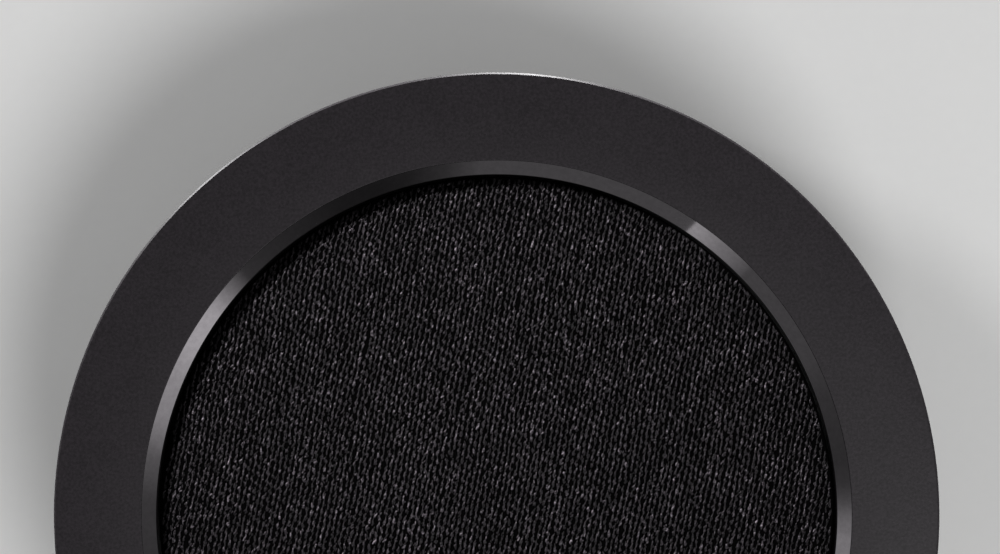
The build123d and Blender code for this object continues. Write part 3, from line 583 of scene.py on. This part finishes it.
def strand_points(centres, lean, length, radius, rise, curl):
    """Points of many strands at once: each a lumpy arch that winds as it crosses the cloth."""
    count = len(centres)
    t = np.linspace(-1, 1, YARN_RINGS)
    swell = np.sqrt(np.clip(1 - np.abs(t * 0.96) ** 2.6, 0, 1))
    arch = 1 - np.abs(t) ** 2.2
    direction = np.stack([np.cos(lean), np.sin(lean)], 1)
    across = np.stack([-direction[:, 1], direction[:, 0]], 1)
    bow = (t * (1 - t**2) * 2)[None, :] * curl[:, None]
    bow = bow + rng.normal(0, POINT_JITTER["bow"], (count, YARN_RINGS))
    line = (centres[:, None, :] + direction[:, None, :] * (t[None, :, None] * length[:, None, None] / 2)
            + across[:, None, :] * bow[:, :, None])
    height = CLOTH_BASE_TOP - YARN_ROOT + arch[None, :] * rise[:, None]
    height = height + rng.normal(0, POINT_JITTER["height"], (count, YARN_RINGS))
    angle = np.arange(YARN_SIDES) * 2 * math.pi / YARN_SIDES
    lumps = rng.normal(1, POINT_JITTER["radius"], (count, YARN_RINGS)).clip(*LUMPS)
    r = swell[None, :] * radius[:, None] * lumps
    side = np.cos(angle)[None, None, :] * r[:, :, None]
    up = np.sin(angle)[None, None, :] * r[:, :, None]
    xy = line[:, :, None, :] + across[:, None, None, :] * side[..., None]
    z = height[:, :, None] + up
    tube = np.concatenate([xy, z[..., None]], 3).reshape(count, -1, 3)
    ends = []
    for sign, k in ((-1, 0), (1, YARN_RINGS - 1)):
        tip = line[:, k] + direction * (sign * 0.25 * radius[:, None])
        ends.append(np.concatenate([tip, height[:, k, None]], 1)[:, None, :])
    return np.concatenate([tube, *ends], 1)


def knitted(places):
    """Points of every strand, the strands of a stitch together."""
    count = len(places)
    stitch_lean = YARN_LEAN + rng.normal(0, STITCH_JITTER["lean"], count)
    stitch_shift = rng.normal(0, STITCH_JITTER["shift"], (count, 2))
    stitch_rise = rng.normal(0, STITCH_JITTER["rise"], count)
    jitter = STRAND_JITTER
    layers = []
    for shift_across, shift_along, long, thick, lift, winding, turn in STRANDS:
        lean = stitch_lean + turn + rng.normal(0, jitter["lean"], count)
        across = np.stack([-np.sin(stitch_lean), np.cos(stitch_lean)], 1)
        along = np.stack([np.cos(stitch_lean), np.sin(stitch_lean)], 1)
        centres = places + stitch_shift + across * shift_across + along * shift_along
        centres = centres + rng.normal(0, jitter["shift"], (count, 2))
        length = (long * rng.normal(1, jitter["length"], count)).clip(*LENGTHS)
        radius = (thick * rng.normal(1, jitter["radius"], count)).clip(*RADII)
        rise = (RISE + lift + stitch_rise + rng.normal(0, jitter["rise"], count)).clip(*RISES)
        curl = winding + rng.normal(0, jitter["curl"], count)
        # strands are drawn in from the wall, and lie lower beside it
        inside = np.minimum(1, (CLOTH_R - WALL_GAP - radius) / (np.hypot(*centres.T) + length / 2))
        centres = centres * inside[:, None]
        rolled = ((np.hypot(*centres.T) - CLOTH_R + EDGE_ROLL) / EDGE_ROLL).clip(0, 1)
        rise = rise * (1 - EDGE_SINK * rolled)
        layers.append(strand_points(centres, lean, length, radius, rise, curl))
    return np.stack(layers, 1).reshape(count * len(STRANDS), -1, 3)


def yarn_mesh(name, points, material):
    """One mesh from the points of many strands."""
    quads, caps = strand_faces()
    count, size = points.shape[:2]
    shift = (np.arange(count) * size)[:, None, None]
    quads = (quads[None] + shift).reshape(-1, 4)
    caps = (caps[None] + shift).reshape(-1, 3)
    mesh = bpy.data.meshes.new(name)
    mesh.vertices.add(count * size)
    mesh.vertices.foreach_set("co", (points.reshape(-1, 3) * MM).astype(np.float32).ravel())
    loops = np.concatenate([quads.ravel(), caps.ravel()])
    mesh.loops.add(len(loops))
    mesh.loops.foreach_set("vertex_index", loops.astype(np.int32))
    starts = np.concatenate([np.arange(len(quads)) * 4, len(quads) * 4 + np.arange(len(caps)) * 3])
    mesh.polygons.add(len(starts))
    mesh.polygons.foreach_set("loop_start", starts.astype(np.int32))
    mesh.update(calc_edges=True)
    mesh.validate()
    mesh.shade_smooth()
    mesh.materials.append(material)
    obj = bpy.data.objects.new(name, mesh)
    bpy.context.scene.collection.objects.link(obj)
    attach(obj, "hub")
    return obj


def yarn_material():
    """Matt black yarn, each strand its own tone, with fibres along it and a few bright ones, and painted
    shade towards the wall.
    """
    mat, tree, shader = new_material("cloth_yarn")
    island = add(tree, "ShaderNodeNewGeometry").outputs["Random Per Island"]
    each = ramp(tree, island, [(0.0, (0.008, 0.0066, 0.008)), (0.5, (0.030, 0.0255, 0.030)),
                               (0.85, (0.056, 0.048, 0.056)), (1.0, (0.20, 0.175, 0.20))])
    patch = noise(tree, 0.9, detail=2.0)
    fibre = noise(tree, 3.6, detail=4.0, roughness=0.7, stretch=(1, 1.9, 1))
    tone = calc(tree, "MULTIPLY", spread_range(tree, patch, 0.65, 1.35),
                spread_range(tree, fibre, 0.1, 1.9, 0.44, 0.56))
    # painted shade: the yarns' colour is darkened towards the wall, down to 0.45 of its tone, standing in
    # for the wall's shadow where the cloth rolls down beside it
    flat = add(tree, "ShaderNodeVectorMath", operation="MULTIPLY")
    flat.inputs[1].default_value = (1, 1, 0)
    tree.links.new(place(tree), flat.inputs[0])
    radius = add(tree, "ShaderNodeVectorMath", operation="LENGTH")
    tree.links.new(flat.outputs[0], radius.inputs[0])
    painted_wall_shade = spread_range(tree, radius.outputs["Value"], 1.0, 0.45,
                        (CLOTH_R - EDGE_ROLL * 1.3) * MM, (CLOTH_R - 0.1) * MM)
    tone = calc(tree, "MULTIPLY", tone, painted_wall_shade)
    mix = add(tree, "ShaderNodeVectorMath", operation="SCALE")
    tree.links.new(each, mix.inputs[0])
    tree.links.new(tone, mix.inputs["Scale"])
    tree.links.new(mix.outputs[0], shader.inputs["Base Color"])
    gloss = spread_range(tree, fibre, 0.62, 0.42)
    tree.links.new(gloss, shader.inputs["Roughness"])
    set_inputs(shader, Specular_IOR_Level=0.35)
    bump(tree, shader, fibre, 1.0, 0.09)
    return mat


yarn_mat = yarn_material()
places = stitch_places(CLOTH_R - STITCH_MARGIN)
yarns = knitted(places)
turns = np.arctan2(places[:, 1], places[:, 0]) / (2 * math.pi) + 0.5
sector = np.repeat((turns * SECTORS).astype(int).clip(0, SECTORS - 1), len(STRANDS))
yarn_pieces = [yarn_mesh(f"cloth_stitches_{k + 1}", yarns[sector == k], yarn_mat) for k in range(SECTORS)]

keep_light(cloth_key, "INCLUDE", [cloth, *yarn_pieces])
keep_light(edge_strip, "INCLUDE", [rim])
keep_light(edge_strip_left, "INCLUDE", [rim])
keep_light(key, "EXCLUDE", [rim, cloth, *yarn_pieces])
keep_light(fill, "EXCLUDE", [cloth, *yarn_pieces])

# ---------------------------------------------------------------- carried-over CAD pieces
SLOT_MATERIALS = {
    "rim_metal": rim_mat,
    "polished_metal": bevel_mat,
    "cloth": cloth_mat,
    "base_plastic": coated("base_plastic", (0.026, 0.025, 0.027), 0.5, 1.6, 0.03, variation=0.15),
    "black_plastic": coated("black_plastic", (0.018, 0.018, 0.019), 0.45, 2.0, 0.015),
    "foot_rubber": coated("foot_rubber", (0.03, 0.03, 0.031), 0.8, 1.2, 0.03),
    "boot_rubber": coated("boot_rubber", (0.04, 0.04, 0.043), 0.75, 1.5, 0.02),
    "board_laminate": coated("board_laminate", (0.008, 0.055, 0.03), 0.35, 0.8, 0.01),
    "steel": metal("zinc_steel", (0.55, 0.55, 0.56), 0.32),
    "tin_shield": metal("tin_shield", (0.66, 0.66, 0.65), 0.3, streak=(1, 6, 1)),
    "ferrite": coated("ferrite", (0.035, 0.035, 0.038), 0.6, 1.0, 0.03),
    "copper": metal("copper_winding", (0.72, 0.34, 0.16), 0.3, streak=(1, 1, 12)),
    "paper_cone": coated("cone_paper", (0.03, 0.03, 0.03), 0.9, 1.4, 0.05),
    "gold_contact": metal("gold_contact", (0.85, 0.6, 0.25), 0.22),
    "aluminium_plain": metal("plain_aluminium", (0.75, 0.75, 0.77), 0.35, streak=(1, 8, 1)),
    "light_plastic": coated("light_plastic", (0.6, 0.62, 0.64), 0.25, 0.8, 0.004, Subsurface_Weight=0.3),
    "white_plastic": coated("white_plastic", (0.72, 0.70, 0.64), 0.4, 0.9, 0.008),
    "chip_black": coated("chip_epoxy", (0.02, 0.02, 0.021), 0.5, 2.4, 0.01),
    "orange_cloth": coated("dipped_cloth", (0.35, 0.14, 0.035), 0.85, 1.6, 0.08),
    "grey_pad": coated("gap_pad", (0.26, 0.30, 0.36), 0.9, 1.0, 0.03),
    "lead_insulation": coated("lead_insulation", (0.32, 0.02, 0.02), 0.45, 0.8, 0.01),
}
for part in frame["record"]["subparts"]:
    node = NODES[part["node"]]
    node.data.materials.clear()
    node.data.materials.append(SLOT_MATERIALS[part["material_slot"]])
